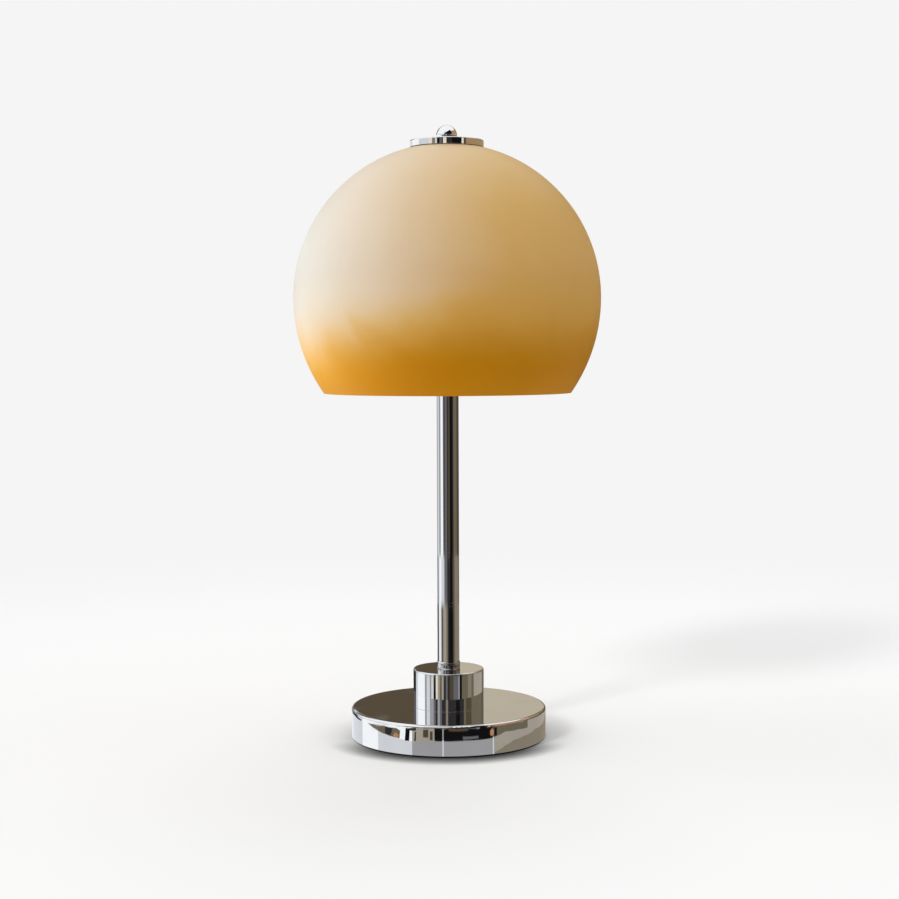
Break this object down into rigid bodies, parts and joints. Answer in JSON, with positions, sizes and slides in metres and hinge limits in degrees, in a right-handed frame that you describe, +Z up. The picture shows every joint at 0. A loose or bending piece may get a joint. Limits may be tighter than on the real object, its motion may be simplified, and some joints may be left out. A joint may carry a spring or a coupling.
{
  "type": "table lamp",
  "caption": "Mushroom table lamp: domed satin glass shade held by a cap and ball finial on a chromed stem, collar and weighted round base.",
  "frame": {"origin": "middle of the foot pad's underside, where the lamp's upright axis meets the surface it stands on", "axes": "+Z up along the stem to the ball finial; -Y is the front, seen in the picture; +Y is the back, where the cord inlet is; +X is the right seen from the front"},
  "size_m": [0.25, 0.25, 0.5],
  "materials": {
    "chrome": "mirror-polished chrome plate",
    "steel": "zinc-plated steel",
    "iron": "painted cast iron",
    "foot": "matte foam rubber",
    "seat_rubber": "soft silicone rubber",
    "bush": "black nylon",
    "block": "off-white polyamide",
    "brass": "bare brass",
    "porcelain": "glazed porcelain",
    "holder": "black moulded phenolic",
    "shade": "satin opal glass, cream to amber at the rim",
    "bulb_white": "white moulded plastic",
    "globe": "frosted white plastic",
    "board": "white-coated aluminium board",
    "chips": "yellow phosphor",
    "bulb_cap": "bright pressed aluminium",
    "insulator": "black glass insulator",
    "lead_brown": "brown insulation",
    "lead_blue": "blue insulation",
    "lead_green": "green and yellow insulation"
  },
  "bodies": {
    "lamp_stand": {"foot_pad": "foot", "bottom_plate": "steel", "plate_screws": "steel", "base_weight": "iron", "base_shell": "chrome", "cord_inlet": "bush", "terminal_block": "block", "terminal_clamps": "brass", "block_screws": "steel", "earth_tag": "steel", "base_washer": "steel", "lock_washer": "steel", "base_nut": "steel", "tie_tube": "steel", "collar": "chrome", "collar_sleeve": "steel", "lock_ring": "chrome", "stem_tube": "chrome", "check_ring": "steel", "carrier_lower_bar": "steel", "carrier_upper_bar": "steel", "carrier_rod_left": "steel", "carrier_rod_right": "steel", "carrier_nuts": "steel", "finial_stud": "steel", "stud_nut": "steel", "seat_spacer": "steel", "seat_disc": "steel", "seat_gasket": "seat_rubber", "holder_cap": "holder", "holder_body": "holder", "holder_insert": "porcelain", "holder_screw_shell": "brass", "holder_contact": "brass", "holder_screws": "steel", "lead_live": "lead_brown", "lead_neutral": "lead_blue", "earth_lead": "lead_green"},
    "bulb": {"bulb_contact": "brass", "bulb_insulator": "insulator", "bulb_screw_cap": "bulb_cap", "bulb_housing": "bulb_white", "bulb_globe": "globe", "led_board": "board", "led_chips": "chips"},
    "shade": {"shade_glass": "shade", "cap_gasket": "seat_rubber"},
    "cap": {"top_cap": "chrome"},
    "finial": {"ball_finial": "chrome"}
  },
  "joints": [
    {"name": "shade_lift", "type": "slide", "parent": "lamp_stand", "child": "shade", "axis": [0, 0, 1], "range_m": [0, 0.22]},
    {"name": "cap_rise", "type": "slide", "parent": "shade", "child": "cap", "axis": [0, 0, 1], "range_m": [0, 0.008]},
    {"name": "finial_turn", "type": "hinge", "parent": "cap", "child": "finial", "pos_m": [0, 0, 0.4875], "axis": [0, 0, 1], "range_deg": [0, 2880]},
    {"name": "bulb_withdraw", "type": "slide", "parent": "lamp_stand", "child": "bulb", "axis": [0, 0, 1], "range_m": [0, 0.025]}
  ],
  "couplings": [
    {"joint": "finial_turn", "follows": "cap_rise", "rad_per_m": 6283.2}
  ]
}
